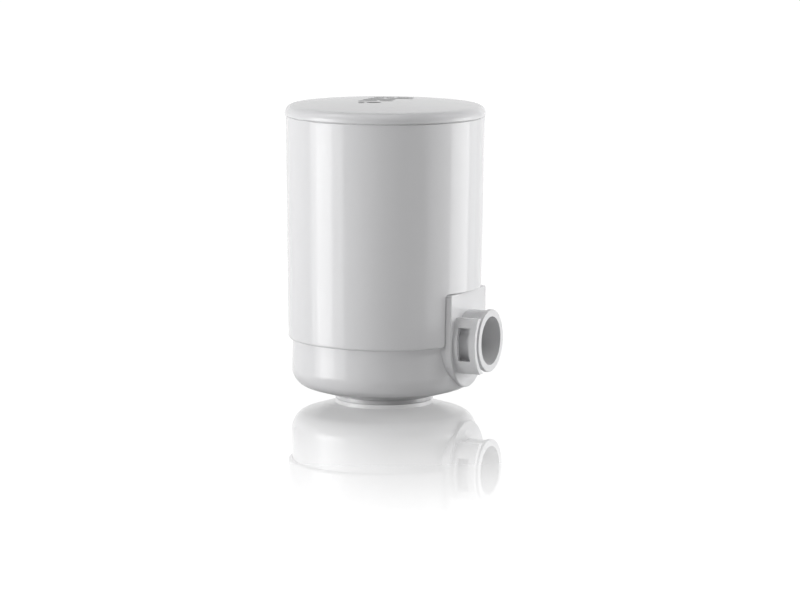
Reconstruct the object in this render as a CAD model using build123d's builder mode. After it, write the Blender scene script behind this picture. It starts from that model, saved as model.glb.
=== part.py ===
from build123d import *
from math import asin, atan2, degrees, hypot, pi, sin, sqrt, tan
import os

# A side-fed water filter cartridge for a tap, standing on the ring round its outlet.
# Millimetres. The origin is the centre of the foot's underside, +Z runs up the body and +X runs out
# along the inlet tube. Water enters the tube, rises round the filter element, passes inwards through
# the fleece and the carbon, and leaves down the core, through the nipple and the outlet grid.

# Pressure cup
cup_r = 30.75
cup_wall = 2.2
belly = 0.25              # how far the cup swells below the sleeve
belly_round = 6.5         # radius of the corner between the cup's side and its underside
belly_z = 10.5            # height at which that corner starts
foot_r = 16.4
foot_wall = 3.0
foot_h = 1.36
foot_edge = 0.3

# Outlet, from the foot upwards
mouth_l = 2.4
mouth_step = 0.4          # how much narrower the grid's seat is than the open mouth
grid_ring_t = 1.0
grid_ring_w = 1.4
grid_t = 1.6
grid_hole_r = 0.8
grid_pitch = 2.6
grid_rings = 4
grid_holes_inner = 6      # holes in the innermost ring; each ring outwards has as many more
grid_shoulder = 1.0
collecting_h = 2.4
socket_r = 7.6
socket_l = 7.8

# Inlet plate, tube and part-round collar
inlet_z = 21.85
plate_w = 29.0
plate_above = 16.35       # from the inlet's axis up to the plate's straight top
plate_below = 16.05       # from the inlet's axis down to the plate's round end
plate_proud = 0.05        # how far the plate's face stands in front of the cup's side
plate_edge = 0.5
plate_corner = 0.8
tube_r = 10.0
tube_l = 8.05
lip_r = 10.45
lip_l = 1.2
lip_edge = 0.3
bore_r = 8.1
bore_l = 7.45
collar_r = 13.4
collar_wall = 1.6
collar_set_back = 0.15    # from the collar's front to the front of the tube
collar_above = 8.5        # from the inlet's axis up to the collar's upper end
collar_below = 10.2       # and down to its lower end
window_back = 1.5         # from the plate's face to the collar's window
window_l = 4.2
window_h = 11.1

# Sieve in the inlet
sieve_pocket_r = 7.4
sieve_pocket_l = 1.8
sieve_ledge = 1.1
sieve_rim = 0.55
sieve_back_t = 1.0
sieve_bar_w = 1.2
mesh_t = 0.35
mesh_pitch = 1.25
mesh_gap = 0.85

# Filter element, from the inside outwards and from the bottom upwards
core_r = 4.4
core_wall = 1.2
core_hole_r = 1.2
core_hole_rows = 12
core_holes_round = 4
core_fleece_t = 0.4
block_r = 22.3
block_l = 54.2
fleece_t = 0.7
net_t = 0.5
net_rows = 9
net_gaps_round = 12
net_strand = 2.0
glue_t = 0.7
end_cap_wall = 1.2
end_cap_rim = 4.2
low_cap_t = 1.8
high_cap_t = 2.0
core_seat = 0.8
nipple_l = 7.0
nipple_seal_pitch = 3.0
nipple_seal_w = 1.9
nipple_seal_depth = 1.3
stub_r = 6.0
stub_l = 2.6

# Pressure cap
centring_l = 3.0
centring_wall = 2.0
cap_plate_t = 2.6
cap_plug_l = 7.8
cap_plug_wall = 2.6
cap_flange_t = 2.8
cap_seal_w = 2.2
cap_seal_depth = 1.6
cap_seal_up = 1.4
cap_hub_r = 5.0
cap_ribs = 6
cap_rib_t = 1.6

# Sleeve and cover
sleeve_wall = 1.3
sleeve_flare = 0.95       # how much wider the sleeve is at its head than at its foot
sleeve_foot_z = 20.6
sleeve_foot_edge = 0.8
seam_edge = 0.4
slot_round = 1.4
slot_round_low = 0.1      # how far the round corner runs out below the sleeve's foot
slot_edge = 0.2
ledge_t = 1.4
ledge_w = 3.8
snap_up = 3.0             # from the sleeve's foot up to its snap bead
snap_h = 1.2
snap_depth = 0.5
cover_proud = 0.3
cover_wall = 2.0
cover_side_h = 0.85
cover_round = 2.75
cover_crown_r = 300.0
skirt_l = 5.25
skirt_wall = 1.6
skirt_snap = 0.25

# Clearances
sleeve_gap = 0.2
slot_gap = 0.15
plug_gap = 0.1
skirt_gap = 0.15
skirt_end_gap = 0.3
snap_gap = 0.1
slip_gap = 0.05

# Places worked out from the sizes above
cup_in_r = cup_r - cup_wall
belly_r = cup_r + belly
belly_centre_r = belly_r - belly_round
belly_in_round = belly_round - (belly_r - cup_in_r)
foot_to_centre = hypot(belly_centre_r - foot_r, belly_z - foot_h)
foot_to_centre_tilt = atan2(belly_z - foot_h, belly_centre_r - foot_r)
underside_tilt = foot_to_centre_tilt - asin(belly_round / foot_to_centre)
mouth_r = foot_r - foot_wall
grid_fit_r = mouth_r - mouth_step
grid_low_z = mouth_l + grid_ring_t
grid_seat_z = grid_low_z + grid_t
chamber_roof_z = grid_seat_z + collecting_h
chamber_r = grid_fit_r - grid_shoulder
socket_z = chamber_roof_z + socket_l

core_out_r = core_r + core_wall
block_bore_r = core_out_r + core_fleece_t
fleece_r = block_r + fleece_t
net_r = fleece_r + net_t
end_cap_in_r = net_r + slip_gap
end_cap_r = end_cap_in_r + end_cap_wall
low_glue_z = socket_z + low_cap_t
block_z = low_glue_z + glue_t
high_glue_z = block_z + block_l
high_cap_z = high_glue_z + glue_t
stub_z = high_cap_z + high_cap_t
cap_z = stub_z + centring_l
rim_z = cap_z + cap_plug_l
cap_top_z = rim_z + cap_flange_t

ledge_top_z = cap_top_z + ledge_t
sleeve_head_z = ledge_top_z + skirt_end_gap + skirt_l
sleeve_foot_r = cup_r + sleeve_gap + sleeve_wall
sleeve_slope = sleeve_flare / (sleeve_head_z - sleeve_foot_z)
snap_z = sleeve_foot_z + snap_up
skirt_snap_z = sleeve_head_z - skirt_l / 2

plate_x = cup_r + plate_proud
tube_x = plate_x + tube_l
plate_top_z = inlet_z + plate_above
sieve_front_x = tube_x - bore_l
sieve_back_x = sieve_front_x - sieve_pocket_l
sieve_bore_r = sieve_pocket_r - sieve_ledge


def sleeve_in_r(z):
    """Inner radius of the tapered sleeve at height z."""
    return cup_r + sleeve_gap + sleeve_slope * (z - sleeve_foot_z)


def plain_ring(outer_r, inner_r, low, high):
    """A plain ring about the body's axis."""
    with BuildPart() as ring:
        with BuildSketch(Plane.XY.offset(low)):
            Circle(outer_r)
            Circle(inner_r, mode=Mode.SUBTRACT)
        extrude(amount=high - low)
    return ring.part


def fitted_seal(inner_r, outer_r, middle_z, groove_w):
    """A seal ring as it sits in its groove, squeezed between two walls."""
    with BuildPart() as seal:
        with BuildSketch(Plane.XZ):
            with Locations(((inner_r + outer_r) / 2, middle_z)):
                Ellipse((outer_r - inner_r) / 2, groove_w / 2 - slip_gap)
        revolve(axis=Axis.Z)
    return seal.part


def keep(piece, name):
    """Labels a finished piece and writes its file."""
    piece.label = name
    export_step(piece, f"parts/{name}.step")


os.makedirs("parts", exist_ok=True)

# Filter cup: the cup with its foot, inlet plate, inlet tube and collar, moulded in one
snap_groove_half = snap_h / 2 + snap_gap
inside_x = cup_in_r - cup_wall
plate_turn_z = inlet_z - plate_below + plate_w / 2

with BuildPart() as filter_cup:
    with BuildSketch(Plane.XZ):
        with BuildLine():
            underside = Polyline((0, 0), (foot_r, 0), (foot_r, foot_h))
            corner = CenterArc(
                (belly_centre_r, belly_z),
                belly_round,
                degrees(underside_tilt) - 90,
                90 - degrees(underside_tilt),
            )
            Line(underside @ 1, corner @ 0)
            Polyline(
                corner @ 1,
                (cup_r, sleeve_foot_z),
                (cup_r, snap_z - snap_groove_half),
                (cup_r - snap_depth + snap_gap, snap_z - snap_groove_half),
                (cup_r - snap_depth + snap_gap, snap_z + snap_groove_half),
                (cup_r, snap_z + snap_groove_half),
                (cup_r, rim_z),
                (0, rim_z),
                (0, 0),
            )
        make_face()
    revolve(axis=Axis.Z)

    # Inlet plate: straight top and sides, round lower end
    with BuildSketch(Plane.YZ.offset(inside_x)) as plate:
        with Locations((0, (plate_top_z + plate_turn_z) / 2)):
            Rectangle(plate_w, plate_top_z - plate_turn_z)
        fillet(plate.vertices().group_by(Axis.Y)[-1], plate_corner)
        with Locations((0, plate_turn_z)):
            Circle(plate_w / 2)
    extrude(amount=plate_x - inside_x)
    fillet(filter_cup.faces().filter_by(Axis.X).sort_by(Axis.X)[-1].outer_wire().edges(), plate_edge)

    # Inlet tube and the lip round its mouth
    with BuildSketch(Plane.YZ.offset(inside_x)):
        with Locations((0, inlet_z)):
            Circle(tube_r)
    extrude(amount=tube_x - inside_x)
    with BuildSketch(Plane.YZ.offset(tube_x - lip_l)):
        with Locations((0, inlet_z)):
            Circle(lip_r)
    extrude(amount=lip_l)
    fillet(filter_cup.faces().sort_by(Axis.X)[-1].outer_wire().edges(), lip_edge)

    # Collar: part of a round shell on one side of the tube, with a window for the tap adapter's catch
    with BuildSketch(Plane.YZ.offset(plate_x - plate_edge)):
        with Locations((0, inlet_z)):
            Circle(collar_r)
            Circle(collar_r - collar_wall, mode=Mode.SUBTRACT)
        with Locations((-collar_r / 2, inlet_z + (collar_above - collar_below) / 2)):
            Rectangle(collar_r, collar_above + collar_below, mode=Mode.INTERSECT)
    extrude(amount=tube_x - collar_set_back - plate_x + plate_edge)
    with BuildSketch(Plane.XZ.offset(tube_r)):
        with Locations((plate_x + window_back + window_l / 2, inlet_z)):
            Rectangle(window_l, window_h)
    extrude(amount=collar_r, mode=Mode.SUBTRACT)

    # Inside of the cup, with the outlet socket left standing on its floor
    with BuildSketch(Plane.XZ) as inside:
        with BuildLine():
            floor_corner = CenterArc(
                (belly_centre_r, belly_z),
                belly_in_round,
                degrees(underside_tilt) - 90,
                90 - degrees(underside_tilt),
            )
            floor_x = (floor_corner @ 0).X
            floor_z = (floor_corner @ 0).Y
            housing_r = mouth_r + cup_wall
            housing_foot_z = floor_z - (floor_x - housing_r) * tan(underside_tilt)
            Polyline(
                floor_corner @ 1,
                (cup_in_r, rim_z),
                (0, rim_z),
                (0, socket_z),
                (socket_r + cup_wall, socket_z),
                (socket_r + cup_wall, chamber_roof_z + cup_wall),
                (housing_r, chamber_roof_z + cup_wall),
                (housing_r, housing_foot_z),
                floor_corner @ 0,
            )
        make_face()
    revolve(axis=Axis.Z, mode=Mode.SUBTRACT)

    # Outlet: mouth, collecting chamber and nipple socket
    with BuildSketch(Plane.XZ):
        with BuildLine():
            Polyline(
                (0, 0),
                (mouth_r, 0),
                (mouth_r, mouth_l),
                (grid_fit_r, mouth_l),
                (grid_fit_r, grid_seat_z),
                (chamber_r, grid_seat_z),
                (chamber_r, chamber_roof_z),
                (socket_r, chamber_roof_z),
                (socket_r, socket_z),
                (0, socket_z),
                (0, 0),
            )
        make_face()
    revolve(axis=Axis.Z, mode=Mode.SUBTRACT)

    # Inlet bore, the pocket for the sieve and the way through the cup's wall
    for radius, back_x in ((bore_r, sieve_front_x), (sieve_pocket_r, sieve_back_x), (sieve_bore_r, inside_x)):
        with BuildSketch(Plane.YZ.offset(back_x)):
            with Locations((0, inlet_z)):
                Circle(radius)
        extrude(amount=tube_x - back_x, mode=Mode.SUBTRACT)

    foot_edges = filter_cup.edges().filter_by(GeomType.CIRCLE).group_by(Axis.Z)[0]
    fillet(foot_edges.sort_by(SortBy.RADIUS)[-1], foot_edge)

keep(filter_cup.part, "filter_cup")

# Outlet grid: concentric rings of small holes
with BuildPart() as outlet_grid:
    with BuildSketch(Plane.XY.offset(grid_low_z)):
        Circle(grid_fit_r - slip_gap)
        Circle(grid_hole_r, mode=Mode.SUBTRACT)
        for ring_number in range(1, grid_rings + 1):
            with PolarLocations(ring_number * grid_pitch, ring_number * grid_holes_inner):
                Circle(grid_hole_r, mode=Mode.SUBTRACT)
    extrude(amount=grid_t)
keep(outlet_grid.part, "outlet_grid")

keep(plain_ring(grid_fit_r - slip_gap, grid_fit_r - grid_ring_w, mouth_l, grid_low_z), "outlet_ring")

# Sieve: a moulded frame pressed into the inlet, with a woven mesh disc in its rebate
sieve_r = sieve_pocket_r - slip_gap
mesh_x = sieve_back_x + sieve_back_t
mesh_r = sieve_r - sieve_rim

with BuildPart() as strainer_frame:
    with BuildSketch(Plane.YZ.offset(sieve_back_x)):
        with Locations((0, inlet_z)):
            Circle(sieve_r)
            Circle(sieve_bore_r, mode=Mode.SUBTRACT)
            Rectangle(2 * sieve_bore_r + sieve_rim, sieve_bar_w)
            Rectangle(sieve_bar_w, 2 * sieve_bore_r + sieve_rim)
    extrude(amount=sieve_back_t)
    with BuildSketch(Plane.YZ.offset(mesh_x)):
        with Locations((0, inlet_z)):
            Circle(sieve_r)
            Circle(mesh_r, mode=Mode.SUBTRACT)
    extrude(amount=sieve_front_x - slip_gap - mesh_x)
keep(strainer_frame.part, "strainer_frame")

with BuildPart() as strainer_mesh:
    with BuildSketch(Plane.YZ.offset(mesh_x)):
        with Locations((0, inlet_z)):
            Circle(mesh_r - slip_gap)
        gaps_across = int(2 * sieve_bore_r / mesh_pitch)
        for across in range(gaps_across):
            for up in range(gaps_across):
                gap_y = (across - (gaps_across - 1) / 2) * mesh_pitch
                gap_z = (up - (gaps_across - 1) / 2) * mesh_pitch
                if hypot(gap_y, gap_z) + mesh_gap < sieve_bore_r:
                    with Locations((gap_y, inlet_z + gap_z)):
                        Rectangle(mesh_gap, mesh_gap, mode=Mode.SUBTRACT)
    extrude(amount=mesh_t)
keep(strainer_mesh.part, "strainer_mesh")

# Lower end cap: a dish glued under the block, with the outlet nipple and its two seal grooves
nipple_r = socket_r - slip_gap
nipple_groove_r = nipple_r - nipple_seal_depth
high_seal_z = socket_z - (nipple_l - nipple_seal_pitch) / 2
low_seal_z = high_seal_z - nipple_seal_pitch

with BuildPart() as bottom_end_cap:
    with BuildSketch(Plane.XZ):
        with BuildLine():
            Polyline(
                (core_r, socket_z - nipple_l),
                (nipple_r, socket_z - nipple_l),
                (nipple_r, socket_z),
                (end_cap_r, socket_z),
                (end_cap_r, low_glue_z + end_cap_rim),
                (end_cap_in_r, low_glue_z + end_cap_rim),
                (end_cap_in_r, low_glue_z),
                (core_out_r + slip_gap, low_glue_z),
                (core_out_r + slip_gap, low_glue_z - core_seat),
                (core_r, low_glue_z - core_seat),
                (core_r, socket_z - nipple_l),
            )
        make_face()
        for seal_z in (low_seal_z, high_seal_z):
            with Locations(((nipple_groove_r + nipple_r) / 2, seal_z)):
                Rectangle(nipple_seal_depth, nipple_seal_w, mode=Mode.SUBTRACT)
    revolve(axis=Axis.Z)
keep(bottom_end_cap.part, "bottom_end_cap")

keep(fitted_seal(nipple_groove_r, socket_r, low_seal_z, nipple_seal_w), "nipple_o_ring_lower")
keep(fitted_seal(nipple_groove_r, socket_r, high_seal_z, nipple_seal_w), "nipple_o_ring_upper")

# Upper end cap: closed, with the stub that centres the element in the pressure cap
with BuildPart() as top_end_cap:
    with BuildSketch(Plane.XZ):
        with BuildLine():
            Polyline(
                (0, high_cap_z + core_seat),
                (core_out_r + slip_gap, high_cap_z + core_seat),
                (core_out_r + slip_gap, high_cap_z),
                (end_cap_in_r, high_cap_z),
                (end_cap_in_r, high_cap_z - end_cap_rim),
                (end_cap_r, high_cap_z - end_cap_rim),
                (end_cap_r, stub_z),
                (stub_r, stub_z),
                (stub_r, stub_z + stub_l),
                (0, stub_z + stub_l),
                (0, high_cap_z + core_seat),
            )
        make_face()
    revolve(axis=Axis.Z)
keep(top_end_cap.part, "top_end_cap")

# Carbon block, its wraps and the glue at its two ends
keep(plain_ring(block_r, block_bore_r, block_z, high_glue_z), "carbon_block")
keep(plain_ring(fleece_r, block_r, block_z, high_glue_z), "prefilter_fleece")
keep(plain_ring(block_bore_r, core_out_r, block_z, high_glue_z), "core_fleece")
keep(plain_ring(net_r, core_out_r + slip_gap, low_glue_z, block_z), "bottom_adhesive")
keep(plain_ring(net_r, core_out_r + slip_gap, high_glue_z, high_cap_z), "top_adhesive")

# Net: a welded plastic net round the fleece, with rows of diamond gaps
net_pitch_z = block_l / (net_rows + 1)
net_pitch_round = 360 / net_gaps_round
gap_w = 2 * net_r * sin(pi / net_gaps_round) - net_strand
gap_h = 2 * net_pitch_z - net_strand

with BuildPart() as outer_net:
    with BuildSketch(Plane.XY.offset(block_z)):
        Circle(net_r)
        Circle(fleece_r, mode=Mode.SUBTRACT)
    extrude(amount=block_l)
    for step in range(2 * net_gaps_round):
        with BuildSketch(Plane.XZ.rotated((0, 0, step * net_pitch_round / 2))):
            for row in range(step % 2, net_rows, 2):
                with Locations((0, block_z + (row + 1) * net_pitch_z)):
                    Polygon((-gap_w / 2, 0), (0, -gap_h / 2), (gap_w / 2, 0), (0, gap_h / 2))
        extrude(amount=2 * net_r, mode=Mode.SUBTRACT)
keep(outer_net.part, "outer_net")

# Core tube, pierced all round, with its ends in the two end caps
core_low_z = low_glue_z - core_seat
core_high_z = high_cap_z + core_seat
core_row_pitch = block_l / core_hole_rows

with BuildPart() as core_tube:
    with BuildSketch(Plane.XY.offset(core_low_z)):
        Circle(core_out_r)
        Circle(core_r, mode=Mode.SUBTRACT)
    extrude(amount=core_high_z - core_low_z)
    for row in range(core_hole_rows):
        row_z = block_z + (row + 0.5) * core_row_pitch
        for hole in range(core_holes_round):
            turn = (hole + row % 2 / 2) * 360 / core_holes_round
            with BuildSketch(Plane.XZ.rotated((0, 0, turn))):
                with Locations((0, row_z)):
                    Circle(core_hole_r)
            extrude(amount=2 * core_out_r, mode=Mode.SUBTRACT)
keep(core_tube.part, "core_tube")

# Pressure cap: a dished plug with ribs, screwed into the cup's mouth; its fine thread is left plain
plug_r = cup_in_r - plug_gap
plug_in_r = plug_r - cap_plug_wall
cap_groove_r = plug_r - cap_seal_depth
cap_seal_z = cap_z + cap_seal_up + cap_seal_w / 2

with BuildPart() as pressure_cap:
    with BuildSketch(Plane.XZ):
        with BuildLine():
            Polyline(
                (0, cap_z),
                (stub_r + slip_gap, cap_z),
                (stub_r + slip_gap, stub_z),
                (stub_r + slip_gap + centring_wall, stub_z),
                (stub_r + slip_gap + centring_wall, cap_z),
                (plug_r, cap_z),
                (plug_r, rim_z),
                (cup_r, rim_z),
                (cup_r, cap_top_z),
                (plug_in_r, cap_top_z),
                (plug_in_r, cap_z + cap_plate_t),
                (cap_hub_r, cap_z + cap_plate_t),
                (cap_hub_r, rim_z),
                (0, rim_z),
                (0, cap_z),
            )
        make_face()
        with Locations(((cap_groove_r + plug_r) / 2, cap_seal_z)):
            Rectangle(cap_seal_depth, cap_seal_w, mode=Mode.SUBTRACT)
    revolve(axis=Axis.Z)
    with BuildSketch(Plane.XY.offset(cap_z + cap_plate_t)):
        with PolarLocations((cap_hub_r + plug_in_r) / 2, cap_ribs):
            Rectangle(cap_groove_r - cap_hub_r, cap_rib_t)
    extrude(amount=rim_z - cap_z - cap_plate_t)
keep(pressure_cap.part, "pressure_cap")

keep(fitted_seal(cap_groove_r, cup_in_r, cap_seal_z, cap_seal_w), "cap_o_ring")

# Outer sleeve: the tapered casing, with a slot that passes down over the inlet plate
sleeve_head_r = sleeve_in_r(sleeve_head_z) + sleeve_wall
skirt_groove_r = sleeve_in_r(skirt_snap_z) + skirt_snap + snap_gap
slot_w = plate_w + 2 * slot_gap
slot_top_z = plate_top_z + slot_gap
slot_round_h = slot_round - slot_round_low


def on_slot_rim(edge):
    """True for the slot's edges in the sleeve's outer surface, above its rounded lower corners."""
    middle = edge @ 0.5
    outside = hypot(middle.X, middle.Y) > sleeve_in_r(middle.Z) + sleeve_wall - slot_edge
    return outside and middle.Z > sleeve_foot_z + slot_round


with BuildPart() as outer_sleeve:
    with BuildSketch(Plane.XZ):
        with BuildLine():
            Polyline(
                (sleeve_foot_r, sleeve_foot_z),
                (sleeve_head_r, sleeve_head_z),
                (sleeve_in_r(sleeve_head_z), sleeve_head_z),
                (sleeve_in_r(skirt_snap_z + snap_groove_half), skirt_snap_z + snap_groove_half),
                (skirt_groove_r, skirt_snap_z + snap_groove_half),
                (skirt_groove_r, skirt_snap_z - snap_groove_half),
                (sleeve_in_r(skirt_snap_z - snap_groove_half), skirt_snap_z - snap_groove_half),
                (sleeve_in_r(ledge_top_z), ledge_top_z),
                (sleeve_in_r(ledge_top_z) - ledge_w, ledge_top_z),
                (sleeve_in_r(ledge_top_z) - ledge_w, cap_top_z),
                (sleeve_in_r(cap_top_z), cap_top_z),
                (sleeve_in_r(snap_z + snap_h / 2), snap_z + snap_h / 2),
                (cup_r - snap_depth + 2 * snap_gap, snap_z + snap_h / 4),
                (cup_r - snap_depth + 2 * snap_gap, snap_z - snap_h / 4),
                (sleeve_in_r(snap_z - snap_h / 2), snap_z - snap_h / 2),
                (sleeve_in_r(sleeve_foot_z), sleeve_foot_z),
                (sleeve_foot_r, sleeve_foot_z),
            )
        make_face()
    revolve(axis=Axis.Z)
    outside_edges = outer_sleeve.edges().filter_by(GeomType.CIRCLE)
    fillet(outside_edges.group_by(Axis.Z)[0].sort_by(SortBy.RADIUS)[-1], sleeve_foot_edge)
    outside_edges = outer_sleeve.edges().filter_by(GeomType.CIRCLE)
    fillet(outside_edges.group_by(Axis.Z)[-1].sort_by(SortBy.RADIUS)[-1], seam_edge)

    with BuildSketch(Plane.YZ) as slot:
        with Locations((0, slot_top_z / 2)):
            Rectangle(slot_w, slot_top_z)
        fillet(slot.vertices().group_by(Axis.Y)[-1], plate_corner + slot_gap)
        with Locations((0, sleeve_foot_z)):
            Rectangle(slot_w + 2 * slot_round, 2 * slot_round_h)
        with Locations(
            (slot_w / 2 + slot_round, sleeve_foot_z + slot_round_h),
            (-slot_w / 2 - slot_round, sleeve_foot_z + slot_round_h),
        ):
            Circle(slot_round, mode=Mode.SUBTRACT)
    extrude(amount=2 * cup_r, mode=Mode.SUBTRACT)
    fillet(outer_sleeve.edges(Select.LAST).filter_by(on_slot_rim), slot_edge)
keep(outer_sleeve.part, "outer_sleeve")

# Top cover: shallow dome, rounded rim and a skirt that snaps into the sleeve
cover_r = sleeve_head_r + cover_proud
cover_centre_r = cover_r - cover_round
cover_side_z = sleeve_head_z + cover_side_h
crown_run = sqrt((cover_crown_r - cover_round) ** 2 - cover_centre_r**2)
crown_tilt = atan2(cover_centre_r, crown_run)
crown_z = cover_side_z - crown_run
skirt_z = sleeve_head_z - skirt_l
skirt_in_r = sleeve_in_r(sleeve_head_z) - skirt_gap - skirt_wall
inner_crown_r = cover_crown_r - cover_wall
bead_r = sleeve_in_r(skirt_snap_z) + skirt_snap

with BuildPart() as top_cover:
    with BuildSketch(Plane.XZ):
        with BuildLine():
            rim = CenterArc((cover_centre_r, cover_side_z), cover_round, 0, 90 - degrees(crown_tilt))
            dome = CenterArc((0, crown_z), cover_crown_r, 90 - degrees(crown_tilt), degrees(crown_tilt))
            inner_tilt = asin(skirt_in_r / inner_crown_r)
            inner_dome = CenterArc((0, crown_z), inner_crown_r, 90, -degrees(inner_tilt))
            Line(dome @ 1, inner_dome @ 0)
            Polyline(
                inner_dome @ 1,
                (skirt_in_r, skirt_z),
                (sleeve_in_r(skirt_z) - skirt_gap, skirt_z),
                (sleeve_in_r(skirt_snap_z) - skirt_gap, skirt_snap_z - snap_h / 2),
                (bead_r, skirt_snap_z),
                (sleeve_in_r(skirt_snap_z) - skirt_gap, skirt_snap_z + snap_h / 2),
                (sleeve_in_r(sleeve_head_z) - skirt_gap, sleeve_head_z),
                (cover_r, sleeve_head_z),
                rim @ 0,
            )
        make_face()
    revolve(axis=Axis.Z)
    seam = top_cover.edges().filter_by(GeomType.CIRCLE).filter_by_position(
        Axis.Z, sleeve_head_z - slip_gap, sleeve_head_z + slip_gap
    )
    fillet(seam.sort_by(SortBy.RADIUS)[-1], seam_edge)
keep(top_cover.part, "top_cover")

print(f"height {crown_z + cover_crown_r:.2f}, widest {2 * cover_r:.2f}, inlet front {tube_x:.2f}")
print(f"seam at {sleeve_head_z:.2f}, cup rim at {rim_z:.2f}")
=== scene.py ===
import math

import bmesh
import bpy
from mathutils import Euler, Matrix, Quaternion, Vector


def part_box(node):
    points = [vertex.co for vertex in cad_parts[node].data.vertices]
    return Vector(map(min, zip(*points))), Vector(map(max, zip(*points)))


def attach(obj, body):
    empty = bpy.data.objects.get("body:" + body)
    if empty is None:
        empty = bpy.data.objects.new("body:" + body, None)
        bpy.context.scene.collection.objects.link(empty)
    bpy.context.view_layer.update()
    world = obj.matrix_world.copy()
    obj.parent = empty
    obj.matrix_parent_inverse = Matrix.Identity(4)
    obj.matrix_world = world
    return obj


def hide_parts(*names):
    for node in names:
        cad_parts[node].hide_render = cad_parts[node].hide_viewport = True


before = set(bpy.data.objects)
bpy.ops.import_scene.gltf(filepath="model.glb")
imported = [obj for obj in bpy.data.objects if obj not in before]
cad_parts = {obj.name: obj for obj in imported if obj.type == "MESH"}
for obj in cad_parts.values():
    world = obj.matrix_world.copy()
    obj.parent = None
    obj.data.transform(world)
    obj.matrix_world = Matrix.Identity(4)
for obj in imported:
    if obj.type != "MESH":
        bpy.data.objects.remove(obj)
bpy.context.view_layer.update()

# Filter cup: the pressure cup with its foot, inlet plate, inlet tube and part-round collar.
# It is one injection moulding in white glossy plastic. The polished mould gives the gloss, and the
# plastic's flow leaves very faint cloudy streaks and a barely felt orange peel.
white_plastic = (0.735, 0.735, 0.745)
plastic_ior = 1.5
cup_rough = 0.15
streak_size = 0.018
streak_share = 0.985
handling_size = 0.03
rubbed_smoother = 0.01
rubbed_rougher = 0.015
peel_size = 0.0011
polished_peel = 0.000002


def empty_finish(name):
    """A new material with only its shader, its output and the object's own coordinates."""
    finish = bpy.data.materials.new(name)
    finish.use_nodes = True
    tree = finish.node_tree
    tree.nodes.clear()
    output = tree.nodes.new("ShaderNodeOutputMaterial")
    shader = tree.nodes.new("ShaderNodeBsdfPrincipled")
    place = tree.nodes.new("ShaderNodeTexCoord")
    tree.links.new(shader.outputs["BSDF"], output.inputs["Surface"])
    return finish, tree, shader, place


def grain(tree, place, size, stretch=(1, 1, 1), detail=2.0, distortion=0.0):
    """Cloudy noise with features of about the given size in metres, longer along a small stretch value."""
    mapping = tree.nodes.new("ShaderNodeMapping")
    mapping.inputs["Scale"].default_value = stretch
    noise = tree.nodes.new("ShaderNodeTexNoise")
    noise.inputs["Scale"].default_value = 1 / size
    noise.inputs["Detail"].default_value = detail
    noise.inputs["Distortion"].default_value = distortion
    tree.links.new(place.outputs["Object"], mapping.inputs["Vector"])
    tree.links.new(mapping.outputs["Vector"], noise.inputs["Vector"])
    return noise.outputs["Fac"]


def between(tree, factor, low, high, start=0.3, end=0.7):
    """Turns a pattern that runs from start to end into numbers between low and high."""
    span = tree.nodes.new("ShaderNodeMapRange")
    span.inputs["From Min"].default_value = start
    span.inputs["From Max"].default_value = end
    span.inputs["To Min"].default_value = low
    span.inputs["To Max"].default_value = high
    tree.links.new(factor, span.inputs["Value"])
    return span.outputs["Result"]


def two_tones(tree, factor, first, second, start=0.3, end=0.7):
    """Blends two colours by a pattern that runs from start to end."""
    ramp = tree.nodes.new("ShaderNodeValToRGB")
    ramp.color_ramp.elements[0].position = start
    ramp.color_ramp.elements[0].color = (*first, 1)
    ramp.color_ramp.elements[1].position = end
    ramp.color_ramp.elements[1].color = (*second, 1)
    tree.links.new(factor, ramp.inputs["Fac"])
    return ramp.outputs["Color"]


def relief(tree, shader, height, depth):
    """Raises the surface by a pattern, depth metres at most."""
    bump = tree.nodes.new("ShaderNodeBump")
    bump.inputs["Strength"].default_value = 1.0
    bump.inputs["Distance"].default_value = depth
    tree.links.new(height, bump.inputs["Height"])
    tree.links.new(bump.outputs["Normal"], shader.inputs["Normal"])


def darker(colour, share):
    """A colour taken down to a share of its own brightness."""
    return tuple(part * share for part in colour)


def white_moulding(name, colour, rough, peel_depth, flow=(1, 1, 0.3)):
    """Glossy white injection-moulded plastic, with streaks along the way the plastic flowed."""
    finish, tree, shader, place = empty_finish(name)
    streaks = grain(tree, place, streak_size, flow, detail=3.0, distortion=0.4)
    tones = two_tones(tree, streaks, darker(colour, streak_share), colour)
    tree.links.new(tones, shader.inputs["Base Color"])
    handling = grain(tree, place, handling_size, detail=1.0)
    rubbed = between(tree, handling, rough - rubbed_smoother, rough + rubbed_rougher)
    tree.links.new(rubbed, shader.inputs["Roughness"])
    shader.inputs["IOR"].default_value = plastic_ior
    relief(tree, shader, grain(tree, place, peel_size, detail=1.0), peel_depth)
    return finish


def dress(node, finish):
    """Gives a piece of the frame its finish."""
    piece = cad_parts[node]
    piece.data.materials.clear()
    piece.data.materials.append(finish)


dress("filter_cup", white_moulding("cup_plastic", white_plastic, cup_rough, polished_peel))

# Inlet sieve: a small moulded cross frame pressed in behind the inlet bore, with a disc of woven
# steel wire in its rebate. It stops sand and scale before they reach the fleece.
sieve_white = darker(white_plastic, 0.96)
sieve_rough = 0.34
sieve_peel = 0.00001
wire_pitch = 0.0003
wire_relief = 0.00004
wire_steel = (0.56, 0.56, 0.55)
wire_shade = darker(wire_steel, 0.5)
wire_rough = (0.28, 0.42)
wire_dull_size = 0.0008
wave_radians = 20        # what the wave texture runs through in a metre at a scale of 1

dress("strainer_frame", white_moulding("sieve_frame_plastic", sieve_white, sieve_rough, sieve_peel))

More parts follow.
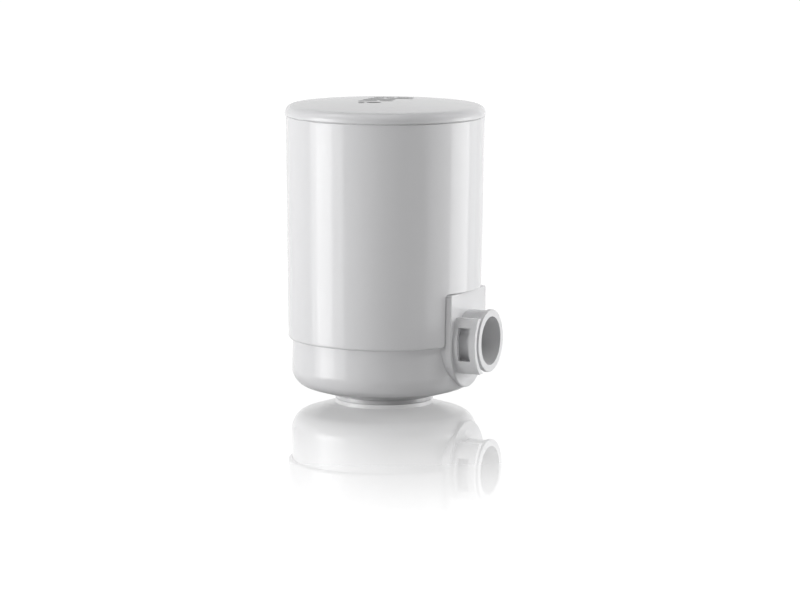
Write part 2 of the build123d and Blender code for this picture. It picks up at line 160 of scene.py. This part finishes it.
wire, tree, shader, place = empty_finish("woven_steel_wire")
weave = []
for direction in ("Y", "Z"):
    rows = tree.nodes.new("ShaderNodeTexWave")
    rows.wave_type = "BANDS"
    rows.bands_direction = direction
    rows.inputs["Scale"].default_value = 2 * math.pi / wire_pitch / wave_radians
    tree.links.new(place.outputs["Object"], rows.inputs["Vector"])
    weave.append(rows.outputs["Fac"])
crossing = tree.nodes.new("ShaderNodeMath")
crossing.operation = "MAXIMUM"
tree.links.new(weave[0], crossing.inputs[0])
tree.links.new(weave[1], crossing.inputs[1])
wires = crossing.outputs["Value"]
tree.links.new(two_tones(tree, wires, wire_shade, wire_steel), shader.inputs["Base Color"])
tree.links.new(between(tree, grain(tree, place, wire_dull_size), *wire_rough), shader.inputs["Roughness"])
shader.inputs["Metallic"].default_value = 1.0
relief(tree, shader, wires, wire_relief)
dress("strainer_mesh", wire)

# Outlet grid and its ring: a disc moulded in white plastic, with rings of small holes that split the
# filtered water into a soft spray. A snap ring of the same plastic holds it in the foot.
grid_white = (0.78, 0.785, 0.79)
grid_rough = 0.32
ring_white = darker(grid_white, 0.97)
ring_rough = 0.30
satin_peel = 0.000008
even_flow = (1, 1, 1)

dress("outlet_grid", white_moulding("grid_plastic", grid_white, grid_rough, satin_peel, flow=even_flow))
dress("outlet_ring", white_moulding("ring_plastic", ring_white, ring_rough, satin_peel, flow=even_flow))

# Core tube and the two end caps: plain mouldings in natural, milky polypropylene. The tube carries the
# block and collects the clean water, and the caps are glued to the block's ends and close them.
milky = (0.74, 0.74, 0.70)
milky_cloud_size = 0.007
milky_share = 0.93
milky_rough = (0.38, 0.52)
milky_dull_size = 0.003
milky_light = 0.3
milky_reach = (0.003, 0.0027, 0.0022)
milky_peel_size = 0.0006
milky_peel = 0.00001


def let_light_in(shader, share, reach):
    """Light comes a little way through the plastic, reach metres for red, green and blue."""
    shader.inputs["Subsurface Weight"].default_value = share
    shader.inputs["Subsurface Radius"].default_value = reach
    shader.inputs["Subsurface Scale"].default_value = 1.0


def natural_moulding(name, colour):
    """Unpigmented plastic: milky, satin, with light coming a little way through it."""
    finish, tree, shader, place = empty_finish(name)
    clouds = grain(tree, place, milky_cloud_size, stretch=(1, 1, 0.5), detail=4.0, distortion=0.8)
    tree.links.new(two_tones(tree, clouds, darker(colour, milky_share), colour), shader.inputs["Base Color"])
    dull = grain(tree, place, milky_dull_size, detail=3.0)
    tree.links.new(between(tree, dull, *milky_rough), shader.inputs["Roughness"])
    let_light_in(shader, milky_light, milky_reach)
    relief(tree, shader, grain(tree, place, milky_peel_size), milky_peel)
    return finish


dress("core_tube", natural_moulding("core_tube_plastic", milky))
dress("bottom_end_cap", natural_moulding("lower_cap_plastic", milky))
dress("top_end_cap", natural_moulding("upper_cap_plastic", milky))

# Fleece: a thin non-woven wrap round the core tube, which holds back carbon dust, and a thicker one
# round the block, which stops sediment. Both are pressed from loose fibres and wound on dry.
fleece_white = (0.80, 0.80, 0.77)
core_fleece_white = darker(fleece_white, 0.97)
core_fibre = 0.0012
outer_fibre = 0.0018
fibre_share = 0.82
fibre_relief = 0.00012
fleece_rough = 0.9
fleece_sheen = 0.35
fleece_sheen_rough = 0.5


def non_woven(name, colour, fibre):
    """Pressed loose fibres, with a soft sheen and no weave."""
    finish, tree, shader, place = empty_finish(name)
    strands = grain(tree, place, fibre, stretch=(1, 1, 0.35), detail=6.0, distortion=2.5)
    tones = two_tones(tree, strands, darker(colour, fibre_share), colour, start=0.35, end=0.65)
    tree.links.new(tones, shader.inputs["Base Color"])
    shader.inputs["Roughness"].default_value = fleece_rough
    shader.inputs["Sheen Weight"].default_value = fleece_sheen
    shader.inputs["Sheen Roughness"].default_value = fleece_sheen_rough
    relief(tree, shader, strands, fibre_relief)
    return finish


dress("core_fleece", non_woven("core_fleece_fibres", core_fleece_white, core_fibre))
dress("prefilter_fleece", non_woven("prefilter_fibres", fleece_white, outer_fibre))

# Carbon block: active carbon grains pressed and baked with a binder into a thick-walled ring.
# It takes up chlorine and odours. Its surface is dull, black and finely grained.
carbon_black = (0.028, 0.028, 0.03)
carbon_edge = (0.06, 0.06, 0.062)
carbon_grain = 0.0005
carbon_relief = 0.00012
carbon_rough = (0.65, 0.95)
carbon_dull_size = 0.0009

carbon, tree, shader, place = empty_finish("pressed_carbon")
cells = tree.nodes.new("ShaderNodeTexVoronoi")
cells.inputs["Scale"].default_value = 1 / carbon_grain
tree.links.new(place.outputs["Object"], cells.inputs["Vector"])
grains = cells.outputs["Distance"]
tones = two_tones(tree, grains, carbon_edge, carbon_black, start=0.1, end=0.6)
tree.links.new(tones, shader.inputs["Base Color"])
dull = grain(tree, place, carbon_dull_size, detail=3.0)
tree.links.new(between(tree, dull, *carbon_rough), shader.inputs["Roughness"])
relief(tree, shader, grains, carbon_relief)
dress("carbon_block", carbon)

# Outer net: a tube of net, extruded in white plastic and drawn over the fleece. Its strands are welded
# where they cross, and it keeps the fibres on the block.
net_white = (0.80, 0.81, 0.82)
net_shade = (0.72, 0.73, 0.74)
net_rough = (0.3, 0.45)
net_light = 0.2
net_reach = (0.001, 0.001, 0.0009)
drawn_size = 0.0012
drawn_relief = 0.00003

net, tree, shader, place = empty_finish("extruded_net")
drawn = grain(tree, place, drawn_size, stretch=(1, 1, 0.25), detail=3.0)
tree.links.new(two_tones(tree, drawn, net_shade, net_white), shader.inputs["Base Color"])
tree.links.new(between(tree, drawn, *net_rough), shader.inputs["Roughness"])
let_light_in(shader, net_light, net_reach)
relief(tree, shader, drawn, drawn_relief)
dress("outer_net", net)

# Adhesive discs: hot-melt glue poured into each end cap before the block is set in it. It bonds the
# block and seals its ends, and sets cloudy and slightly amber.
glue_amber = (0.60, 0.50, 0.30)
glue_pale = (0.74, 0.68, 0.50)
glue_rough = (0.18, 0.36)
glue_cloud_size = 0.004
glue_light = 0.4
glue_reach = (0.003, 0.0022, 0.0012)
glue_wave_size = 0.0025
glue_wave_relief = 0.00006

glue, tree, shader, place = empty_finish("hot_melt_glue")
clouds = grain(tree, place, glue_cloud_size, detail=5.0, distortion=1.5)
tree.links.new(two_tones(tree, clouds, glue_amber, glue_pale), shader.inputs["Base Color"])
tree.links.new(between(tree, clouds, *glue_rough), shader.inputs["Roughness"])
let_light_in(shader, glue_light, glue_reach)
relief(tree, shader, grain(tree, place, glue_wave_size), glue_wave_relief)
for disc in ("bottom_adhesive", "top_adhesive"):
    dress(disc, glue)

# Seal rings: rings of black rubber cord, moulded and then rolled into their grooves, two on the outlet
# nipple and one round the pressure cap. A dusty bloom of moulding powder dulls the black.
rubber_black = (0.016, 0.016, 0.017)
bloom_grey = (0.045, 0.045, 0.046)
rubber_rough = (0.45, 0.7)
bloom_size = 0.003
rubber_peel_size = 0.0004
rubber_peel = 0.00001

rubber, tree, shader, place = empty_finish("seal_rubber")
bloom = grain(tree, place, bloom_size, detail=6.0)
tones = two_tones(tree, bloom, rubber_black, bloom_grey, start=0.4, end=0.8)
tree.links.new(tones, shader.inputs["Base Color"])
tree.links.new(between(tree, bloom, *rubber_rough), shader.inputs["Roughness"])
relief(tree, shader, grain(tree, place, rubber_peel_size), rubber_peel)
for ring in ("nipple_o_ring_lower", "nipple_o_ring_upper", "cap_o_ring"):
    dress(ring, rubber)

# Pressure cap: the ribbed plug that screws into the cup's mouth and holds the water pressure.
# It is moulded in the same natural plastic as the end caps, in a thicker wall.
cap_milky = darker(milky, 0.98)

dress("pressure_cap", natural_moulding("pressure_cap_plastic", cap_milky))

# Outer sleeve: the smooth tapered casing that slides down over the cup and snaps in above its foot.
# It is a glossy white moulding, drawn off its core along the axis, so that its streaks run upwards.
sleeve_rough = 0.13
upward_flow = (1, 1, 0.15)

sleeve_finish = white_moulding("sleeve_plastic", white_plastic, sleeve_rough, polished_peel, flow=upward_flow)
dress("outer_sleeve", sleeve_finish)

# Top cover: the shallow dome that snaps into the sleeve and closes the casing. It is one moulding with
# a skirt and a snap bead, turned here from its section so that the gloss runs evenly over the dome.
# It has a slightly softer gloss than the sleeve.
cover_rough = 0.17
dome_r = 0.300
cover_wall = 0.002
cover_round = 0.00275
cover_side_h = 0.00085
seam_edge = 0.0004
skirt_l = 0.00525
skirt_wall = 0.0016
skirt_gap = 0.00015
skirt_bead = 0.00025
bead_half = 0.0006
sleeve_wall = 0.0013
turn_steps = 240
dome_steps = 28
round_steps = 16
edge_steps = 6
ceiling_steps = 12
on_axis = 1e-9

cover_low, cover_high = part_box("top_cover")
sleeve_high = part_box("outer_sleeve")[1]
seam_z = sleeve_high.z
cover_r = cover_high.y
skirt_r = sleeve_high.y - sleeve_wall - skirt_gap
dome_z = cover_high.z - dome_r


def arc(middle, radius, start, end, steps):
    """Points of a circular arc in a section, as (radius, height), from one angle to another in degrees."""
    points = []
    for step in range(steps + 1):
        angle = math.radians(start + (end - start) * step / steps)
        points.append((middle[0] + radius * math.cos(angle), middle[1] + radius * math.sin(angle)))
    return points


def turned(name, section, sharp_angle):
    """A solid of revolution about the body's axis, from a closed section that starts and ends on it."""
    solid = bmesh.new()
    rings = []
    for radius, height in section:
        if radius < on_axis:
            rings.append([solid.verts.new((0, 0, height))])
            continue
        ring = []
        for step in range(turn_steps):
            angle = 2 * math.pi * step / turn_steps
            ring.append(solid.verts.new((radius * math.cos(angle), radius * math.sin(angle), height)))
        rings.append(ring)
    for near, far in zip(rings, rings[1:]):
        for step in range(turn_steps):
            after = (step + 1) % turn_steps
            if len(near) == 1:
                solid.faces.new((near[0], far[step], far[after]))
            elif len(far) == 1:
                solid.faces.new((near[step], near[after], far[0]))
            else:
                solid.faces.new((near[step], near[after], far[after], far[step]))
    bmesh.ops.recalc_face_normals(solid, faces=solid.faces)
    mesh = bpy.data.meshes.new(name)
    solid.to_mesh(mesh)
    solid.free()
    mesh.shade_smooth()
    mesh.set_sharp_from_angle(angle=math.radians(sharp_angle))
    piece = bpy.data.objects.new(name, mesh)
    bpy.context.scene.collection.objects.link(piece)
    return piece


rim_middle = (cover_r - cover_round, seam_z + cover_side_h)
crown_tilt = math.degrees(math.asin(rim_middle[0] / (dome_r - cover_round)))
skirt_in_r = skirt_r - skirt_wall
inner_tilt = math.degrees(math.asin(skirt_in_r / (dome_r - cover_wall)))
bead_z = seam_z - skirt_l / 2
section = arc((0, dome_z), dome_r, 90, 90 - crown_tilt, dome_steps)
section += arc(rim_middle, cover_round, 90 - crown_tilt, 0, round_steps)[1:]
section += arc((cover_r - seam_edge, seam_z + seam_edge), seam_edge, 0, -90, edge_steps)
section += [(skirt_r, seam_z), (skirt_r, bead_z + bead_half), (skirt_r + skirt_gap + skirt_bead, bead_z)]
section += [(skirt_r, bead_z - bead_half), (skirt_r, cover_low.z), (skirt_in_r, cover_low.z)]
section += arc((0, dome_z), dome_r - cover_wall, 90 - inner_tilt, 90, ceiling_steps)
cover_shell = turned("cover_shell", section, sharp_angle=35)
cover_finish = white_moulding("cover_plastic", white_plastic, cover_rough, polished_peel, flow=even_flow)
cover_shell.data.materials.append(cover_finish)
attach(cover_shell, "root")
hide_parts("top_cover")

# Print on the cover: five rows of plain dark grey bars, pad-printed on the dome. The rows are turned 24
# degrees from the inlet's direction, and each bar is a thin film of ink that follows the dome.
ink_t = 0.00002
ink_sink = 0.00006
ink_grey = (0.045, 0.045, 0.047)
ink_pale = darker(ink_grey, 1.7)
ink_rough = (0.4, 0.6)
ink_patch_size = 0.0005
ink_relief = 0.000004
print_turn = math.radians(24.4)
row_pitch = 0.0049
row_h = 0.0021
row_starts = (-0.0090, -0.0090, -0.0076, -0.0059, -0.0040)
row_ends = (-0.0014, 0.0026, 0.0034, 0.0092, 0.0096)
first_row_y = -0.0090
bar_gap = 0.0006
bar_lengths = (0.0022, 0.0049, 0.0064, 0.0046, 0.0110, 0.0056, 0.0089, 0.0070, 0.0060)
bar_step = 0.0004
bar_fewest_steps = 4
bar_end_share = 0.15


def on_dome(x, y, lift):
    """A point above or below the dome's surface."""
    rise = math.sqrt(dome_r ** 2 - x ** 2 - y ** 2)
    return Vector((x, y, dome_z + rise + lift))


def ink_bar(film, left, right, y):
    """One bar with round ends, as a thin closed film that follows the dome."""
    half = row_h / 2
    steps = max(bar_fewest_steps, math.ceil((right - left) / bar_step))
    rings = []
    for step in range(steps + 1):
        x = left + (right - left) * step / steps
        inset = max(0.0, half - min(x - left, right - x))
        reach = max(bar_end_share * half, math.sqrt(max(0.0, half ** 2 - inset ** 2)))
        ring = []
        for side, lift in ((-1, -ink_sink), (-1, ink_t), (1, ink_t), (1, -ink_sink)):
            corner = Vector((x, y + side * reach, 0))
            corner.rotate(Euler((0, 0, print_turn)))
            ring.append(film.verts.new(on_dome(corner.x, corner.y, lift)))
        rings.append(ring)
    for near, far in zip(rings, rings[1:]):
        for side in range(4):
            after = (side + 1) % 4
            film.faces.new((near[side], near[after], far[after], far[side]))
    film.faces.new(rings[0][::-1])
    film.faces.new(rings[-1])


film = bmesh.new()
bar = 0
for row, (x, row_right) in enumerate(zip(row_starts, row_ends)):
    while row_right - x > row_h:
        right = min(x + bar_lengths[bar % len(bar_lengths)], row_right)
        if row_right - right < row_h:
            right = row_right
        ink_bar(film, x, right, first_row_y + row * row_pitch)
        x = right + bar_gap
        bar += 1
bmesh.ops.recalc_face_normals(film, faces=film.faces)
print_mesh = bpy.data.meshes.new("cover_print")
film.to_mesh(print_mesh)
film.free()
cover_print = bpy.data.objects.new("cover_print", print_mesh)
bpy.context.scene.collection.objects.link(cover_print)

ink, tree, shader, place = empty_finish("pad_print_ink")
patchy = grain(tree, place, ink_patch_size, detail=4.0)
tree.links.new(two_tones(tree, patchy, ink_grey, ink_pale), shader.inputs["Base Color"])
tree.links.new(between(tree, patchy, *ink_rough), shader.inputs["Roughness"])
relief(tree, shader, patchy, ink_relief)
print_mesh.materials.append(ink)
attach(cover_print, "root")

# Table: a plain white gloss sheet under the cartridge. It mirrors the foot and the cup at a flat angle,
# less from above, and the mirror image fades out with the distance from the foot. The sheet looks white
# by a glow that only the camera sees, a little weaker near the foot, and takes a faint shadow.
table_half = 3.0
table_white = 0.7
seen_white = 0.25
near_glow = 0.93
near_end = 0.2
far_start = 0.6
mirror_most = 0.71
mirror_start = 0.068
mirror_end = 0.229
gloss_ior = 1.5
flat_view_gain = 2.55

corners = [(-1, -1), (1, -1), (1, 1), (-1, 1)]
table_mesh = bpy.data.meshes.new("table")
table_mesh.from_pydata([(table_half * x, table_half * y, 0) for x, y in corners], [], [(0, 1, 2, 3)])
table = bpy.data.objects.new("table", table_mesh)
bpy.context.scene.collection.objects.link(table)


def worked_out(tree, operation, first, second):
    """A number worked out from a socket and another socket or number."""
    node = tree.nodes.new("ShaderNodeMath")
    node.operation = operation
    for socket, value in zip(node.inputs, (first, second)):
        if isinstance(value, (int, float)):
            socket.default_value = value
        else:
            tree.links.new(value, socket)
    return node.outputs["Value"]


def colour_socket(sockets, name=None):
    """The colour socket of a mixing node, which holds sockets of other kinds under the same names."""
    return next(socket for socket in sockets if socket.type == "RGBA" and name in (None, socket.name))


sheet = bpy.data.materials.new("white_gloss_sheet")
sheet.use_nodes = True
tree = sheet.node_tree
tree.nodes.clear()
output = tree.nodes.new("ShaderNodeOutputMaterial")
place = tree.nodes.new("ShaderNodeTexCoord")
paths = tree.nodes.new("ShaderNodeLightPath")
distance = tree.nodes.new("ShaderNodeVectorMath")
distance.operation = "LENGTH"
tree.links.new(place.outputs["Object"], distance.inputs[0])
fade = between(tree, distance.outputs["Value"], mirror_most, 0.0, mirror_start, mirror_end)
matt = tree.nodes.new("ShaderNodeBsdfDiffuse")
tones = tree.nodes.new("ShaderNodeMix")
tones.data_type = "RGBA"
tree.links.new(paths.outputs["Is Camera Ray"], tones.inputs["Factor"])
for name, tone in (("A", table_white), ("B", seen_white)):
    colour_socket(tones.inputs, name).default_value = (tone, tone, tone, 1)
tree.links.new(colour_socket(tones.outputs), matt.inputs["Color"])
bright = tree.nodes.new("ShaderNodeEmission")
paper = between(tree, distance.outputs["Value"], near_glow, 1.0, near_end, far_start)
tree.links.new(worked_out(tree, "MULTIPLY", paths.outputs["Is Camera Ray"], paper), bright.inputs["Strength"])
body = tree.nodes.new("ShaderNodeAddShader")
tree.links.new(matt.outputs["BSDF"], body.inputs[0])
tree.links.new(bright.outputs["Emission"], body.inputs[1])
mirror = tree.nodes.new("ShaderNodeBsdfGlossy")
mirror.inputs["Color"].default_value = (1, 1, 1, 1)
mirror.inputs["Roughness"].default_value = 0.0
share = worked_out(tree, "MAXIMUM", fade, paths.outputs["Is Glossy Ray"])
steepness = tree.nodes.new("ShaderNodeFresnel")
steepness.inputs["IOR"].default_value = gloss_ior
flatness = worked_out(tree, "MULTIPLY", steepness.outputs["Fac"], flat_view_gain)
share = worked_out(tree, "MULTIPLY", share, worked_out(tree, "MINIMUM", flatness, 1.0))
whole = tree.nodes.new("ShaderNodeMixShader")
tree.links.new(share, whole.inputs["Fac"])
tree.links.new(body.outputs["Shader"], whole.inputs[1])
tree.links.new(mirror.outputs["BSDF"], whole.inputs[2])
tree.links.new(whole.outputs["Shader"], output.inputs["Surface"])
table_mesh.materials.append(sheet)

# Room: a white room with a lit wall behind the cartridge. Seen directly or in a mirror it is white.
# The plastic's soft gloss shows only the lit wall, and the rest of the room gives a soft, weak light.
room_glow = 0.15
wall_glow = 0.87
wall_start = 0.5
wall_end = 0.92
photo_turn = 24.6456     # from the front, the -Y side, round to the camera
camera_side = math.radians(photo_turn - 90)

room = bpy.data.worlds.new("white_room")
bpy.context.scene.world = room
room.use_nodes = True
tree = room.node_tree
tree.nodes.clear()
output = tree.nodes.new("ShaderNodeOutputWorld")
paths = tree.nodes.new("ShaderNodeLightPath")


def glow(strength):
    """A white light of the room, even or worked out from a direction."""
    light = tree.nodes.new("ShaderNodeBackground")
    light.inputs["Color"].default_value = (1, 1, 1, 1)
    if isinstance(strength, (int, float)):
        light.inputs["Strength"].default_value = strength
    else:
        tree.links.new(strength, light.inputs["Strength"])
    return light.outputs["Background"]


place = tree.nodes.new("ShaderNodeTexCoord")
backwards = tree.nodes.new("ShaderNodeVectorMath")
backwards.operation = "DOT_PRODUCT"
backwards.inputs[1].default_value = (-math.cos(camera_side), -math.sin(camera_side), 0)
tree.links.new(place.outputs["Generated"], backwards.inputs[0])
lit_wall = between(tree, backwards.outputs["Value"], 0.0, wall_glow, wall_start, wall_end)
in_gloss = tree.nodes.new("ShaderNodeMixShader")
tree.links.new(paths.outputs["Is Glossy Ray"], in_gloss.inputs["Fac"])
tree.links.new(glow(room_glow), in_gloss.inputs[1])
tree.links.new(glow(lit_wall), in_gloss.inputs[2])
seen = worked_out(tree, "MAXIMUM", paths.outputs["Is Camera Ray"], paths.outputs["Is Singular Ray"])
seen = worked_out(tree, "MAXIMUM", seen, paths.outputs["Is Transmission Ray"])
seen = worked_out(tree, "SUBTRACT", seen, paths.outputs["Diffuse Depth"])
choice = tree.nodes.new("ShaderNodeMixShader")
tree.links.new(seen, choice.inputs["Fac"])
tree.links.new(in_gloss.outputs["Shader"], choice.inputs[1])
tree.links.new(glow(1.0), choice.inputs[2])
tree.links.new(choice.outputs["Shader"], output.inputs["Surface"])

# Lamps: low, wide soft boxes at both sides, which show in the gloss as bright bands, smaller ones high
# up and overhead, and fills that only light the surface. All point at the body. Their turns are in
# degrees to the right of the camera's side, and their powers are in watts.
body_middle = Vector((0, 0, 0.05))
lamp_distance = 0.9
strip_tall = 0.22
fill_box = 0.3
fill_height = 0.2
high_fill_away = 0.7
high_fill_height = 0.75
small_box = 0.4
small_rise = math.radians(55)
top_box = 0.5
top_away = 0.02
top_height = 1.05


def lamp_at(name, turn, away, height, width, tall, power):
    """A soft box at a turn and a distance from the body's axis."""
    panel = bpy.data.lights.new(name, "AREA")
    panel.shape = "RECTANGLE"
    panel.size = width
    panel.size_y = tall
    panel.energy = power
    lamp = bpy.data.objects.new(name, panel)
    angle = camera_side + math.radians(turn)
    lamp.location = (away * math.cos(angle), away * math.sin(angle), height)
    lamp.rotation_euler = (body_middle - lamp.location).to_track_quat("-Z", "Y").to_euler()
    bpy.context.scene.collection.objects.link(lamp)
    return lamp


def strip(name, start, end, power):
    """A low, wide soft box that spans an arc between two turns."""
    width = 2 * lamp_distance * math.tan(math.radians(end - start) / 2)
    lamp_at(name, (start + end) / 2, lamp_distance, strip_tall / 2, width, strip_tall, power)


def fill(name, turn, away, height, power):
    """A small soft box that doesn't show in the gloss."""
    lamp_at(name, turn, away, height, fill_box, fill_box, power).visible_glossy = False


def high_box(name, turn, power):
    """A small soft box high up, at a turn."""
    height = body_middle.z + math.sin(small_rise)
    lamp_at(name, turn, math.cos(small_rise), height, small_box, small_box, power)


strip("left_strip", start=-95, end=-49, power=1.18)
strip("left_middle", start=-86, end=-64, power=0.69)
strip("right_strip", start=50, end=130, power=0.75)
strip("right_middle", start=82, end=113, power=0.8)
fill("left_fill", turn=-85, away=lamp_distance, height=fill_height, power=1.95)
fill("front_left_fill", turn=-60, away=lamp_distance, height=fill_height, power=1.8)
fill("right_fill", turn=108, away=lamp_distance, height=fill_height, power=3.8)
fill("high_right_fill", turn=85, away=high_fill_away, height=high_fill_height, power=2.1)
high_box("high_left_box", turn=-84, power=1.3)
high_box("high_front_box", turn=0, power=0.75)
lamp_at("top_box", turn=0, away=top_away, height=top_height, width=top_box, tall=top_box, power=0.8)

# Camera: a long lens, 1.2 m from the cartridge and looking down on it by eight degrees. Its place, lens
# and small roll were worked out from the outlines of the body and the inlet in the photograph.
camera_lens = 162.735
film_width = 36
camera_place = Vector((0.50040, -1.09069, 0.20852))
camera_turn = math.radians(24.3988)
camera_tilt = math.radians(8.3223)
camera_roll = math.radians(0.2715)

camera_data = bpy.data.cameras.new("camera")
camera_data.lens = camera_lens
camera_data.sensor_width = film_width
camera = bpy.data.objects.new("camera", camera_data)
camera.location = camera_place
level = Euler((math.pi / 2 - camera_tilt, 0, camera_turn)).to_quaternion()
camera.rotation_euler = (level @ Quaternion((0, 0, 1), camera_roll)).to_euler()
bpy.context.scene.collection.objects.link(camera)
bpy.context.scene.camera = camera
bpy.context.scene.view_settings.view_transform = "Standard"
